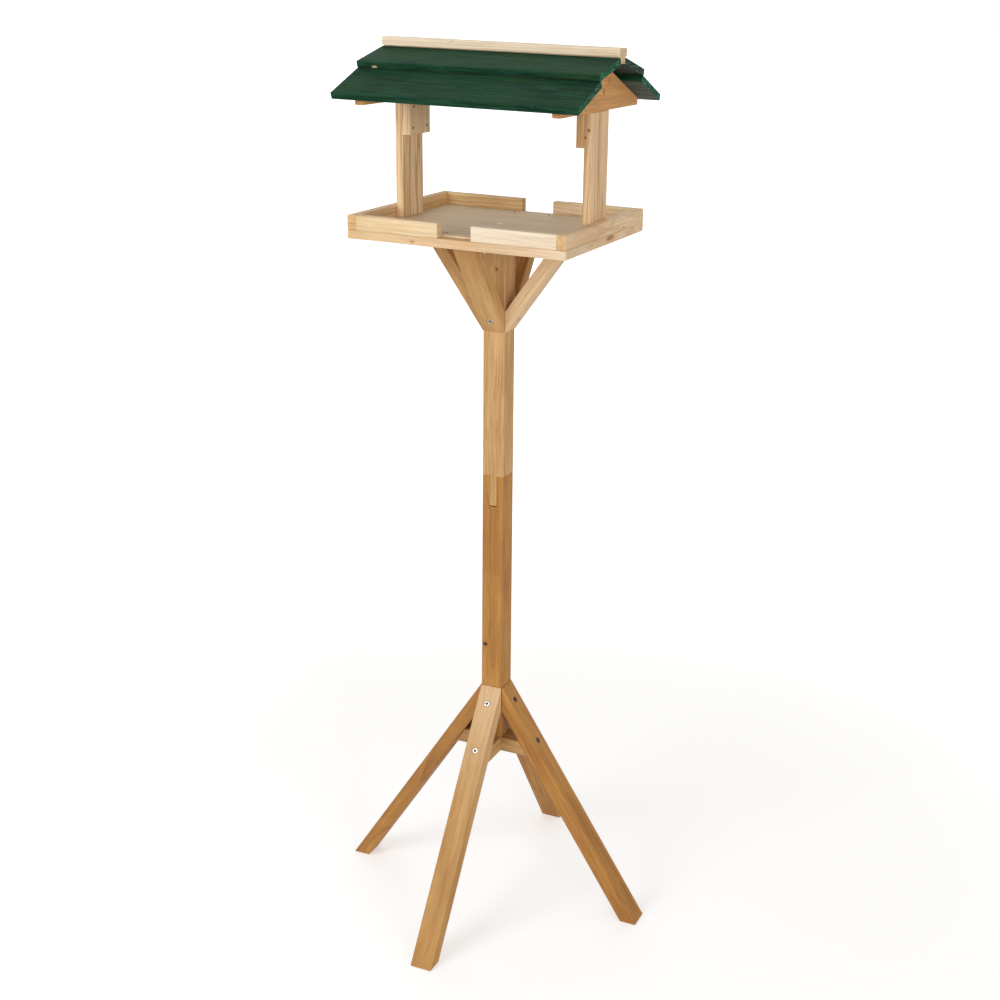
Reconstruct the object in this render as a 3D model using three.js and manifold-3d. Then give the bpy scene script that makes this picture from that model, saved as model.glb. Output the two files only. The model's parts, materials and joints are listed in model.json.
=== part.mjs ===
// Bird table on a four-legged stand. Millimetres, +Z up.
// X runs along the front, which faces -Y, and the origin is on the ground under the post.

import * as THREE from 'three';
import { mergeVertices } from 'three/addons/utils/BufferGeometryUtils.js';
import Module from 'manifold-3d';

const wasm = await Module();
wasm.setup();

// Stand
const post_side = 30;
const lower_post_length = 380;
const cross_height = 225;           // from the ground to the underside of the foot cross
const batten_thickness = 20;
const batten_width = 30;
const leg_width = 30;
const leg_thickness = 20;
const leg_reach = 225;              // from the axis to a foot's outer edge
const leg_rise_on_post = 78;        // from the post's foot to the tip of a leg
const leg_screw_drop = 26.5;        // from a leg's tip to its upper screw, along the leg

// Bridle joint between the two posts
const tongue_thickness = 10;
const tongue_length = 41;
const slot_clearance = 1.3;         // from the tongue's end to the bottom of its slot

// Upper post and its braces
const upper_post_length = 325;      // from the shoulder of the tongue to the tray's floor
const brace_width = 30;
const brace_thickness = 17;
const brace_reach = 103;            // from the axis to a brace's outer edge under the tray
const brace_drop = 122.5;           // from the tray's underside to the tip of a brace
const brace_screw_rise = 20.5;      // from a brace's tip to its screw, along the brace

// Tray
const tray_length = 288;
const tray_depth = 250;
const rail_width = 62;
const rail_thickness = 11;
const floor_thickness = 3;
const wall_thickness = 12;
const wall_height = 18;
const wall_gap = 44;                // between the two pieces of the front or the back wall

// Roof
const roof_post_thickness = 10.5;
const roof_post_width = 52;
const roof_post_height = 143.5;     // from the floor to the gable
const gable_width = 242;
const gable_side_height = 9;
const gable_rise = 46.8;            // from the top of the upright sides to the tip
const gable_tip_width = 6;
const cleat_thickness = 10.5;
const cleat_length = 75;
const cleat_lap = 41.5;             // the part of a cleat that lies on the roof post
const roof_overhang = 26;           // from a gable to the end of the boards
const board_thickness = 8;
const lower_board_width = 71;
const eave_overhang = 9;            // from a gable's side to the board's edge, along the slope
const board_lap = 3.5;              // upper board over the lower one
const strip_width = 12.4;
const cap_width = 22;
const cap_thickness = 10;
const cap_clearance = 1;            // from the cap down to the edge of the upper boards

// Screws and nails
const screw_radius = 1.75;
const screw_head_radius = 3.7;
const screw_head_depth = 2.3;
const screw_head_rim = 0.4;
const screw_tip = 5;
const screw_sink = 0.4;
const leg_screw_length = 30;
const brace_screw_length = 25;
const floor_screw_length = 30;
const recess_span = 4;
const recess_width = 1;
const recess_depth = 1.5;
const nail_radius = 0.8;
const nail_head_radius = 1.6;
const nail_head_depth = 0.8;
const nail_tip = 2;
const nail_bite_share = 0.7;        // of the piece that holds the nail's point
const turned_sides = 16;

// Places of the nails, as shares of the half width, the lap and the height of a cleat
const post_nail_shares = [[-0.69, 0.23], [0.69, 0.21], [0.58, 0.82]];
const gable_nail_shares = [[0, 0.5]];
const floor_nail_offset = 24.6;
const floor_nail_share = 0.36;      // across the rail, from the wall inwards

// Clearances
const seat_gap = 0.3;               // under a piece that leans on its seat
const side_gap = 0.3;               // on each side of what slides or fits in
const hole_gap = 0.3;               // round a screw or a nail
const overrun = 6;                  // of every cut beyond the surface it starts from

// Heights above the ground
const post_foot = cross_height + batten_thickness;
const shoulder = post_foot + lower_post_length;
const post_top = shoulder + upper_post_length;
const tray_underside = post_top - rail_thickness;
const floor_top = post_top + floor_thickness;
const gable_foot = floor_top + roof_post_height;
const gable_shoulder = gable_foot + gable_side_height;
const gable_tip = gable_shoulder + gable_rise;

// Distances from the axis
const post_face = post_side / 2;
const wall_inside = tray_length / 2 - wall_thickness;
const gable_inside = wall_inside - roof_post_thickness;
const roof_length = 2 * (wall_inside + roof_overhang);

const quarter_turn = Math.PI / 2;
const sides = ['right', 'back', 'left', 'front'];   // each a quarter turn on from the last

const pale_tan = new THREE.Color(0xd9b483);
const tan = new THREE.Color(0xcb9a5e);
const brown = new THREE.Color(0xb98246);
const cream = new THREE.Color(0xe8cba0);
const pink_pine = new THREE.Color(0xddb48a);
const grey_ply = new THREE.Color(0xb5a893);
const green = new THREE.Color(0x1c4d33);
const steel = new THREE.Color(0xb9bcc0);

const bird_table = new THREE.Group();

function wood(color) {
  return new THREE.MeshStandardMaterial({ color, roughness: 0.7, metalness: 0 });
}

function metal() {
  return new THREE.MeshStandardMaterial({ color: steel, roughness: 0.35, metalness: 1 });
}

function add(parent, name, geometry, material) {
  const mesh = new THREE.Mesh(geometry, material);
  mesh.name = name;
  parent.add(mesh);
  return mesh;
}

// A closed mesh as a solid, without the empty triangles at the poles of a turned shape
function solid(geometry) {
  const bare = geometry.clone();
  bare.deleteAttribute('normal');
  bare.deleteAttribute('uv');
  const merged = mergeVertices(bare);
  const corners = merged.getIndex().array;
  const kept = [];
  for (let at = 0; at < corners.length; at += 3) {
    const [a, b, c] = corners.slice(at, at + 3);
    if (a !== b && b !== c && c !== a) kept.push(a, b, c);
  }
  const vertProperties = Float32Array.from(merged.getAttribute('position').array);
  const triVerts = Uint32Array.from(kept);
  return new wasm.Manifold(new wasm.Mesh({ numProp: 3, vertProperties, triVerts }));
}

function cut(geometry, cutters) {
  let body = solid(geometry);
  for (const cutter of cutters) body = body.subtract(solid(cutter));
  const { vertProperties, triVerts } = body.getMesh();
  const result = new THREE.BufferGeometry();
  result.setAttribute('position', new THREE.BufferAttribute(vertProperties, 3));
  result.setIndex(new THREE.BufferAttribute(triVerts, 1));
  result.computeVertexNormals();
  return result;
}

// A block from its lowest to its highest corner
function block(low, high) {
  const [x, y, z] = high.map((value, axis) => value - low[axis]);
  const middle = high.map((value, axis) => (value + low[axis]) / 2);
  return new THREE.BoxGeometry(x, y, z).translate(...middle);
}

// An outline of [X, Z] points, with its thickness centred on Y
function upright(outline, thickness) {
  const shape = new THREE.Shape(outline.map(([x, z]) => new THREE.Vector2(x, z)));
  const slab = new THREE.ExtrudeGeometry(shape, { depth: thickness, bevelEnabled: false });
  return slab.translate(0, 0, -thickness / 2).rotateX(quarter_turn);
}

// An outline of [radius, height] points from bottom to top, turned about Z
function turned(outline) {
  const points = outline.map(([radius, height]) => new THREE.Vector2(radius, height));
  return new THREE.LatheGeometry(points, turned_sides).rotateX(quarter_turn);
}

// A countersunk wood screw that points down, with the middle of its head at the origin
function screwGeometry(length) {
  const body = turned([
    [0, -length],
    [screw_radius, screw_tip - length],
    [screw_radius, -screw_head_depth],
    [screw_head_radius, -screw_head_rim],
    [screw_head_radius, 0],
    [0, 0],
  ]);
  const reach = recess_span / 2;
  const half = recess_width / 2;
  return cut(body, [
    block([-reach, -half, -recess_depth], [reach, half, overrun]),
    block([-half, -reach, -recess_depth], [half, reach, overrun]),
  ]);
}

// The drilled and countersunk hole that such a screw sits in
function screwHole(length) {
  return turned([
    [0, -length - hole_gap],
    [screw_radius + hole_gap, -length - hole_gap],
    [screw_radius + hole_gap, -screw_head_depth],
    [screw_head_radius + hole_gap, -screw_head_rim],
    [screw_head_radius + hole_gap, overrun],
    [0, overrun],
  ]);
}

// A flat-headed nail that points down, with the middle of its head at the origin
function nailGeometry(length) {
  return turned([
    [0, -length],
    [nail_radius, nail_tip - length],
    [nail_radius, -nail_head_depth],
    [nail_head_radius, -nail_head_depth],
    [nail_head_radius, 0],
    [0, 0],
  ]);
}

function nailHole(length) {
  return turned([
    [0, -length - hole_gap],
    [nail_radius + hole_gap, -length - hole_gap],
    [nail_radius + hole_gap, -nail_head_depth - hole_gap],
    [nail_head_radius + hole_gap, -nail_head_depth - hole_gap],
    [nail_head_radius + hole_gap, overrun],
    [0, overrun],
  ]);
}

// Where a fastener sits in the plane of reach and height: its head's middle and its turn about Y.
// The direction points out of the wood.
function fastenerSeat(surface, outward, sink) {
  const place = surface.clone().addScaledVector(outward, -sink);
  return { reach: place.x, height: place.y, turn: Math.atan2(outward.x, outward.y) };
}

function holeAt(hole, seat) {
  return hole.clone().rotateY(seat.turn).translate(seat.reach, 0, seat.height);
}

function fastenerAt(parent, name, geometry, seat) {
  const mesh = add(parent, name, geometry, metal());
  mesh.rotation.y = seat.turn;
  mesh.position.set(seat.reach, 0, seat.height);
}

// The legs lean in the plane of reach and height, so that their outer edges run from the
// tip on the post to the ground. `along` points down the leg and `out` away from its outer face.
const leg_tip = new THREE.Vector2(post_face, post_foot + leg_rise_on_post);
const leg_along = new THREE.Vector2(leg_reach, 0).sub(leg_tip).normalize();
const leg_out = new THREE.Vector2(-leg_along.y, leg_along.x);

function legInnerReach(height) {
  const lean = leg_along.x / -leg_along.y;
  return post_face + (leg_tip.y - height) * lean - leg_thickness / -leg_along.y;
}

function legInnerHeight(reach) {
  const lean = leg_along.x / -leg_along.y;
  return leg_tip.y - (reach - post_face + leg_thickness / -leg_along.y) / lean;
}

const batten_end_middle = new THREE.Vector2(
  legInnerReach(post_foot - batten_thickness / 2),
  post_foot - batten_thickness / 2,
);
const upper_screw_seat = fastenerSeat(
  leg_tip.clone().addScaledVector(leg_along, leg_screw_drop),
  leg_out,
  screw_sink,
);
const lower_screw_seat = fastenerSeat(
  batten_end_middle.clone().addScaledVector(leg_out, leg_thickness),
  leg_out,
  screw_sink,
);

// The braces lean the other way, from their tips on the post up to the tray
const brace_tip = new THREE.Vector2(post_face, tray_underside - brace_drop);
const brace_along = new THREE.Vector2(brace_reach, tray_underside).sub(brace_tip).normalize();
const brace_out = new THREE.Vector2(brace_along.y, -brace_along.x);
const brace_screw_seat = fastenerSeat(
  brace_tip.clone().addScaledVector(brace_along, brace_screw_rise),
  brace_out,
  screw_sink,
);

const leg_screw = screwGeometry(leg_screw_length);
const leg_screw_hole = screwHole(leg_screw_length);
const brace_screw = screwGeometry(brace_screw_length);
const brace_screw_hole = screwHole(brace_screw_length);

// One hole for each of the four sides
function holesAllRound(hole) {
  return sides.map((side, turns) => hole.clone().rotateZ(turns * quarter_turn));
}

function addPosts(parent) {
  const half_tongue = tongue_thickness / 2;
  const half_slot = half_tongue + side_gap;
  const tongue_end = shoulder - tongue_length;
  const slot_end = tongue_end - slot_clearance;
  const lower = upright([
    [-post_face, post_foot],
    [post_face, post_foot],
    [post_face, shoulder],
    [half_slot, shoulder],
    [half_slot, slot_end],
    [-half_slot, slot_end],
    [-half_slot, shoulder],
    [-post_face, shoulder],
  ], post_side);
  add(parent, 'lower_post', cut(lower, holesAllRound(holeAt(leg_screw_hole, upper_screw_seat))), wood(brown));

  const upper = upright([
    [-post_face, shoulder],
    [-half_tongue, shoulder],
    [-half_tongue, tongue_end],
    [half_tongue, tongue_end],
    [half_tongue, shoulder],
    [post_face, shoulder],
    [post_face, post_top],
    [-post_face, post_top],
  ], post_side);
  const holes = holesAllRound(holeAt(brace_screw_hole, brace_screw_seat));
  const floor_hole = screwHole(floor_screw_length).translate(0, 0, floor_top - screw_sink);
  add(parent, 'upper_post', cut(upper, [...holes, floor_hole]), wood(tan));
}

// Each batten has slanting ends against two legs, and half its thickness is cut away at the
// crossing: from above in the wide one, from below in the deep one.
function addFootCross(parent) {
  const low = legInnerReach(cross_height) - seat_gap;
  const high = legInnerReach(post_foot) - seat_gap;
  const half_notch = batten_width / 2 + side_gap;
  const lap = cross_height + batten_thickness / 2;
  const end_hole = holeAt(leg_screw_hole, lower_screw_seat);
  const end_holes = [end_hole, end_hole.clone().rotateZ(2 * quarter_turn)];
  const wide = upright([
    [-low, cross_height],
    [low, cross_height],
    [high, post_foot],
    [half_notch, post_foot],
    [half_notch, lap],
    [-half_notch, lap],
    [-half_notch, post_foot],
    [-high, post_foot],
  ], batten_width);
  add(parent, 'foot_batten_wide', cut(wide, end_holes), wood(pale_tan));

  const deep = upright([
    [-low, cross_height],
    [-half_notch, cross_height],
    [-half_notch, lap],
    [half_notch, lap],
    [half_notch, cross_height],
    [low, cross_height],
    [high, post_foot],
    [-high, post_foot],
  ], batten_width);
  const mesh = add(parent, 'foot_batten_deep', cut(deep, end_holes), wood(pale_tan));
  mesh.rotation.z = quarter_turn;
}

function addLegs(parent) {
  const leg = cut(upright([
    [post_face, legInnerHeight(post_face)],
    [legInnerReach(0), 0],
    [leg_reach, 0],
    [leg_tip.x, leg_tip.y],
  ], leg_width), [holeAt(leg_screw_hole, upper_screw_seat), holeAt(leg_screw_hole, lower_screw_seat)]);
  for (const [turns, side] of sides.entries()) {
    const group = new THREE.Group();
    group.rotation.z = turns * quarter_turn;
    parent.add(group);
    add(group, `leg_${side}`, leg, wood(side === 'front' ? tan : brown));
    fastenerAt(group, `leg_${side}_upper_screw`, leg_screw, upper_screw_seat);
    fastenerAt(group, `leg_${side}_lower_screw`, leg_screw, lower_screw_seat);
  }
}

function addBraces(parent) {
  const plumb_length = brace_thickness / brace_along.x;
  const level_length = brace_thickness / brace_along.y;
  const brace = cut(upright([
    [brace_tip.x, brace_tip.y],
    [brace_reach, tray_underside],
    [brace_reach - level_length, tray_underside],
    [brace_tip.x, brace_tip.y + plumb_length],
  ], brace_width), [holeAt(brace_screw_hole, brace_screw_seat)]);
  for (const [turns, side] of sides.entries()) {
    const group = new THREE.Group();
    group.rotation.z = turns * quarter_turn;
    parent.add(group);
    add(group, `brace_${side}`, brace, wood(tan));
    fastenerAt(group, `brace_${side}_screw`, brace_screw, brace_screw_seat);
  }
}

// The rails lie flat under the floor: front and back run the whole length, and the side
// rails fill the space between them.
function addTrayFrame(parent) {
  const half_length = tray_length / 2;
  const half_depth = tray_depth / 2;
  const inner_depth = half_depth - rail_width;
  const inner_length = half_length - rail_width;
  const nail_length = floor_thickness + nail_bite_share * rail_thickness;
  const nail = nailGeometry(nail_length);
  const nail_hole = nailHole(nail_length);
  const nail_reach = half_depth - wall_thickness - floor_nail_share * (rail_width - wall_thickness);
  const nail_places = [];
  for (const [end, y] of [['front', -nail_reach], ['back', nail_reach]]) {
    for (const [hand, x] of [['left', -floor_nail_offset], ['right', floor_nail_offset]]) {
      nail_places.push([`floor_nail_${end}_${hand}`, x, y]);
    }
  }
  const nail_holes = nail_places.map(([, x, y]) => nail_hole.clone().translate(x, y, floor_top));

  for (const [end, near, far] of [['front', -half_depth, -inner_depth], ['back', inner_depth, half_depth]]) {
    const rail = block([-half_length, near, tray_underside], [half_length, far, post_top]);
    add(parent, `rail_${end}`, cut(rail, nail_holes), wood(pink_pine));
  }
  for (const [hand, near, far] of [['left', -half_length, -inner_length], ['right', inner_length, half_length]]) {
    const rail = block([near, -inner_depth, tray_underside], [far, inner_depth, post_top]);
    add(parent, `rail_${hand}`, rail, wood(pink_pine));
  }

  const depth_inside = half_depth - wall_thickness;
  const panel = block([-wall_inside, -depth_inside, post_top], [wall_inside, depth_inside, floor_top]);
  const screw_hole = screwHole(floor_screw_length).translate(0, 0, floor_top - screw_sink);
  add(parent, 'tray_floor', cut(panel, [...nail_holes, screw_hole]), wood(grey_ply));
  const screw = add(parent, 'floor_screw', screwGeometry(floor_screw_length), metal());
  screw.position.z = floor_top - screw_sink;
  for (const [name, x, y] of nail_places) {
    add(parent, name, nail, metal()).position.set(x, y, floor_top);
  }
}

// The side walls run the whole depth, and the front and back walls stand between them
function addTrayWalls(parent) {
  const half_length = tray_length / 2;
  const half_depth = tray_depth / 2;
  const depth_inside = half_depth - wall_thickness;
  const half_gap = wall_gap / 2;
  const wall_top = post_top + wall_height;
  for (const [hand, near, far] of [['left', -half_length, -wall_inside], ['right', wall_inside, half_length]]) {
    const wall = block([near, -half_depth, post_top], [far, half_depth, wall_top]);
    add(parent, `wall_${hand}`, wall, wood(pink_pine));
  }
  for (const [end, near, far] of [['front', -half_depth, -depth_inside], ['back', depth_inside, half_depth]]) {
    for (const [hand, start, stop] of [['left', -wall_inside, -half_gap], ['right', half_gap, wall_inside]]) {
      const wall = block([start, near, post_top], [stop, far, wall_top]);
      add(parent, `wall_${end}_${hand}`, wall, wood(cream));
    }
  }
}

// One end of the roof, drawn at the right and turned half round for the left: the upright,
// the gable on top of it and the cleat behind both, with its nails.
function addRoofEnds(parent) {
  const half_width = roof_post_width / 2;
  const half_gable = gable_width / 2;
  const half_tip = gable_tip_width / 2;
  const cleat_inside = gable_inside - cleat_thickness;
  const cleat_foot = gable_foot - cleat_lap;
  const cleat_top = cleat_foot + cleat_length;
  const nail_length = cleat_thickness + nail_bite_share * roof_post_thickness;
  const nail = nailGeometry(nail_length);
  const hole = nailHole(nail_length).rotateY(-quarter_turn).translate(cleat_inside, 0, 0);
  const places = [];
  for (const [across, up] of post_nail_shares) {
    places.push([across * half_width, cleat_foot + up * cleat_lap]);
  }
  for (const [across, up] of gable_nail_shares) {
    places.push([across * half_width, gable_foot + up * (cleat_top - gable_foot)]);
  }
  const holes = places.map(([y, z]) => hole.clone().translate(0, y, z));

  const post = block([gable_inside, -half_width, floor_top], [wall_inside, half_width, gable_foot]);
  const cleat = block([cleat_inside, -half_width, cleat_foot], [gable_inside, half_width, cleat_top]);
  const gable = upright([
    [-half_gable, gable_foot],
    [half_gable, gable_foot],
    [half_gable, gable_shoulder],
    [half_tip, gable_tip],
    [-half_tip, gable_tip],
    [-half_gable, gable_shoulder],
  ], roof_post_thickness).rotateZ(quarter_turn).translate(wall_inside - roof_post_thickness / 2, 0, 0);

  for (const [hand, turns] of [['right', 0], ['left', 2]]) {
    const group = new THREE.Group();
    group.rotation.z = turns * quarter_turn;
    parent.add(group);
    add(group, `roof_post_${hand}`, cut(post, holes), wood(tan));
    add(group, `gable_${hand}`, cut(gable, holes), wood(brown));
    add(group, `cleat_${hand}`, cut(cleat, holes), wood(tan));
    places.forEach(([y, z], index) => {
      const mesh = add(group, `cleat_${hand}_nail_${index + 1}`, nail, metal());
      mesh.rotation.y = -quarter_turn;
      mesh.position.set(cleat_inside, y, z);
    });
  }
}

// One slope of the roof in the plane of Y and Z. The lower board lies on the gables, and the
// upper board leans from the gables beside the ridge strip onto the lower board's top corner.
function addRoof(parent) {
  const gable_corner = new THREE.Vector2(gable_width / 2, gable_shoulder);
  const tip_corner = new THREE.Vector2(gable_tip_width / 2, gable_tip);
  const down_slope = gable_corner.clone().sub(tip_corner).normalize();
  const off_slope = new THREE.Vector2(-down_slope.y, down_slope.x);
  const lower_angle = Math.atan2(down_slope.y, down_slope.x);
  const lower_edge = gable_corner.clone()
    .addScaledVector(down_slope, eave_overhang)
    .addScaledVector(off_slope, seat_gap);
  const lower_middle = lower_edge.clone()
    .addScaledVector(down_slope, -lower_board_width / 2)
    .addScaledVector(off_slope, board_thickness / 2);
  const lower_top_corner = lower_edge.clone()
    .addScaledVector(down_slope, -lower_board_width)
    .addScaledVector(off_slope, board_thickness);

  const upper_start = strip_width / 2 + side_gap;
  const upper_rest = new THREE.Vector2(
    upper_start,
    gable_tip + (upper_start - tip_corner.x) * down_slope.y / down_slope.x,
  );
  const upper_run = lower_top_corner.clone().sub(upper_rest);
  const upper_width = upper_run.length() + board_lap;
  const upper_down = upper_run.clone().normalize();
  const upper_off = new THREE.Vector2(-upper_down.y, upper_down.x);
  const upper_angle = Math.atan2(upper_down.y, upper_down.x);
  const upper_edge = upper_rest.clone().addScaledVector(upper_off, seat_gap);
  const upper_middle = upper_edge.clone()
    .addScaledVector(upper_down, upper_width / 2)
    .addScaledVector(upper_off, board_thickness / 2);

  for (const [end, turns] of [['back', 0], ['front', 2]]) {
    const slope = new THREE.Group();
    slope.rotation.z = turns * quarter_turn;
    parent.add(slope);
    const lower_box = new THREE.BoxGeometry(roof_length, lower_board_width, board_thickness);
    const lower = add(slope, `lower_board_${end}`, lower_box, wood(green));
    lower.rotation.x = lower_angle;
    lower.position.set(0, lower_middle.x, lower_middle.y);
    const upper_box = new THREE.BoxGeometry(roof_length, upper_width, board_thickness);
    const upper = add(slope, `upper_board_${end}`, upper_box, wood(green));
    upper.rotation.x = upper_angle;
    upper.position.set(0, upper_middle.x, upper_middle.y);
  }

  const board_crest = upper_edge.y + board_thickness * upper_off.y;
  const strip_top = board_crest + cap_clearance;
  const half_length = roof_length / 2;
  const half_strip = strip_width / 2;
  const half_cap = cap_width / 2;
  const strip = block([-half_length, -half_strip, gable_tip], [half_length, half_strip, strip_top]);
  add(parent, 'ridge_strip', strip, wood(cream));
  const cap_top = strip_top + cap_thickness;
  const cap = block([-half_length, -half_cap, strip_top], [half_length, half_cap, cap_top]);
  add(parent, 'ridge_cap', cap, wood(cream));
}

addPosts(bird_table);
addFootCross(bird_table);
addLegs(bird_table);
addBraces(bird_table);
addTrayFrame(bird_table);
addTrayWalls(bird_table);
addRoofEnds(bird_table);
addRoof(bird_table);

export default bird_table;
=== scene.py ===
import json
from collections import namedtuple
from math import ceil, cos, pi, radians, sin

import bmesh
import bpy
import numpy as np
from bpy.props import FloatProperty, FloatVectorProperty, PointerProperty
from bpy.types import Operator, Panel, PropertyGroup
from mathutils import Matrix, Vector

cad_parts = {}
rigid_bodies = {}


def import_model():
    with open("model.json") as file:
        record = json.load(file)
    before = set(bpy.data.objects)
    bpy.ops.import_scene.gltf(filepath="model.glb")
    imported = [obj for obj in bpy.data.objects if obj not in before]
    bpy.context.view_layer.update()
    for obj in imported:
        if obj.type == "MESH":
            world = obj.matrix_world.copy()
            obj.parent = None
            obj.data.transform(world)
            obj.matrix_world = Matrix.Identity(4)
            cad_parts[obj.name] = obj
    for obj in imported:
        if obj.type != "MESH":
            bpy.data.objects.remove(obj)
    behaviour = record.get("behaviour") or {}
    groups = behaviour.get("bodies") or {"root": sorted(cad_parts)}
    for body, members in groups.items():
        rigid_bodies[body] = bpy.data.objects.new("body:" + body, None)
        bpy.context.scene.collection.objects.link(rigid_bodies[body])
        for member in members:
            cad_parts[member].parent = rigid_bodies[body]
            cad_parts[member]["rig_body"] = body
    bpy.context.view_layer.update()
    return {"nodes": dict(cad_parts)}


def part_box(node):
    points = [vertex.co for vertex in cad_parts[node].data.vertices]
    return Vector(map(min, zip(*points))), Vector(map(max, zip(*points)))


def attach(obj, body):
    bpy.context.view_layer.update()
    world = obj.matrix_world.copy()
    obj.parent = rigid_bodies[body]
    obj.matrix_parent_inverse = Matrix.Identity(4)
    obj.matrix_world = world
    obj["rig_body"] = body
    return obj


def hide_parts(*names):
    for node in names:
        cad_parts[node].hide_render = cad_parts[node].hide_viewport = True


bl_info = {
    "name": "Bird Table",
    "version": (1, 0, 0),
    "blender": (4, 5, 0),
    "location": "View3D > Sidebar > Bird Table",
    "description": "Dresses the packed bird table in pine, stain and steel, in a pale studio",
    "category": "Object",
}

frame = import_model()

MM = 0.001
MICRONS_PER_MM = 1000.0

# Axes along which an outline is carried
X, Y, Z = 0, 1, 2

# The axis that a timber's outline is carried along, the record's slot, then its figure: where
# the pith lies from the middle, in millimetres across the grain; the tone, from -1 for deep to
# 1 for pale, or a pair of tones for the grain's two ends; and how far year rings and stripes
# fade, or grow stronger below 0. A pith or tone of None is drawn at random
Timber = namedtuple("Timber", "axis slot pith tone plainness", defaults=(None, None, 0.0))
TIMBERS = {
    "lower_post": Timber(Y, "brown_pine", (-46, 24), 0, 0.3),
    "foot_batten_wide": Timber(Y, "pale_pine"),
    "foot_batten_deep": Timber(X, "pale_pine"),
    "leg_right": Timber(Y, "brown_pine", (30, 37), (-0.45, 0.1), 0.4),
    "leg_back": Timber(X, "brown_pine", None, 0.2, 0.3),
    "leg_left": Timber(Y, "brown_pine", None, 0.12, 0.4),
    # leg_front's pair of tones darkens one end of it as painted shade
    "leg_front": Timber(X, "tan_pine", (44, 17), (-1, 0.7), 0.8),
    "upper_post": Timber(Y, "tan_pine", (34, 52), 0.12),
    "brace_right": Timber(Y, "tan_pine", (28, 35), 0.85, 0.5),
    "brace_back": Timber(X, "tan_pine", None, -0.4),
    "brace_left": Timber(Y, "tan_pine", None, 0, 0.3),
    "brace_front": Timber(X, "tan_pine", (43, 18), -0.1, 0.6),
    "rail_front": Timber(X, "pink_pine", (17, -44), (-0.7, 0.55), 0.7),
    "rail_back": Timber(X, "pink_pine", None, None, 0.7),
    "rail_left": Timber(Y, "pink_pine", (-44, -12)),
    "rail_right": Timber(Y, "pink_pine", (41, 15), None, 0.3),
    "tray_floor": Timber(X, "plywood"),
    # wall_left's tone falls to -1 towards its back end: partly its own deeper colour, partly
    # painted shade of the tray's inner corner
    "wall_left": Timber(Y, "pink_pine", (44, -10), (-0.25, -1)),
    "wall_right": Timber(Y, "pink_pine", (-9, 41), None, 0.3),
    "wall_front_left": Timber(X, "cream_pine", (9, -41), (-0.35, 0.25), 0.5),
    "wall_front_right": Timber(X, "cream_pine", (-8, 45), 0.8, 0.3),
    # wall_back_left's deep tone is partly its own colour and partly painted shade inside the tray
    "wall_back_left": Timber(X, "cream_pine", (8, 42), -0.75, -0.3),
    "wall_back_right": Timber(X, "cream_pine", (-7, -46), 0.25),
    # roof_post_left's palest tone is its own pale wood, raised further as painted light on its
    # faces in the roof's shade
    "roof_post_left": Timber(Z, "tan_pine", (23, 41), 1, -0.3),
    "roof_post_right": Timber(Z, "tan_pine", (-25, 39), 0.85, -0.35),
    "gable_left": Timber(X, "brown_pine", (-9, -53), 0.95, 0.3),
    "gable_right": Timber(X, "brown_pine", (10, 49), 0.6, 0.45),
    # cleat_left's palest tone is its own pale wood, raised further as painted light under the roof
    "cleat_left": Timber(Z, "tan_pine", (21, -44), 1),
    "cleat_right": Timber(Z, "tan_pine", (-20, 42), 0.2),
    "lower_board_front": Timber(X, "green_stain", (-14, 34)),
    # The back boards' tones set their undersides: lower_board_back's paler as painted light,
    # upper_board_back's darker as painted shade, besides its dark end
    "lower_board_back": Timber(X, "green_stain", None, 0.6),
    "upper_board_front": Timber(X, "green_stain", (18, 40)),
    "upper_board_back": Timber(X, "green_stain", None, -1),
    "ridge_strip": Timber(X, "cream_pine", None, 0.4),
    "ridge_cap": Timber(X, "cream_pine", (7, 47), 0.75, 0.3),
}

# Knots: middle of the knot, its radii along the grain and across it, all in millimetres, and
# how dark it is
KNOTS = {
    "rail_right": (((144, 12.2, 946.3), (8.5, 3.6), 0.6),),
    "wall_right": (((144, 55.1, 953.4), (2.4, 1.5), 0.4),),
    "rail_front": (((-55.5, -125, 943.3), (1.8, 1.8), 0.5),),
    "lower_post": (
        ((-9.6, -15, 382.8), (1.8, 4.3), 1),
        ((2.6, -15, 352), (1.2, 1.2), 0.9),
    ),
    "upper_post": (((3, -15, 898), (1.3, 1.7), 1),),
    "gable_right": (
        ((132, 6.4, 1118.2), (1, 2.4), 1),
        ((132, 23, 1130.5), (3.4, 3.4), 0.3),
    ),
    "roof_post_right": (
        ((127.4, -26, 1076.4), (1.1, 1.3), 1),
        ((123.2, -26, 1067.9), (1, 1.1), 1),
    ),
}
KNOT_LETTERS = "ab"
NO_KNOT = 99.0

# A chip in the stain, written like a knot, and the two ends of a fine crack in the cap's face
CHIPS = {"upper_board_front": (((-134.1, -71, 1136.6), (2.6, 2.6), 1),)}
CRACKS = {"ridge_cap": ((-69.3, -11, 1163.8), (-57.8, -11, 1170.6))}
CRACK_WIDTH = 0.9 * MM
CRACK_DEPTH = 1.6 * MM

# Roof boards are planed true and sharp, and each lower one rises this far to carry the upper
BOARD_ARRIS_SHARE = 0.4
LAP_CONTACT = 0.55 * MM

# The upper boards' lowest edge is planed off by this much. The corners that lie within a share
# of the upper post's half width are its tongue's, which swells to fill the slot
LAP_BEVEL = 1.3 * MM
TONGUE_SHARE = 0.6
TONGUE_SWELL = 1.04


def vectors(items, field):
    """The values of a vector field of a mesh's items, a row each."""
    values = np.empty(len(items) * 3)
    items.foreach_get(field, values)
    return values.reshape(-1, 3)


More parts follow.
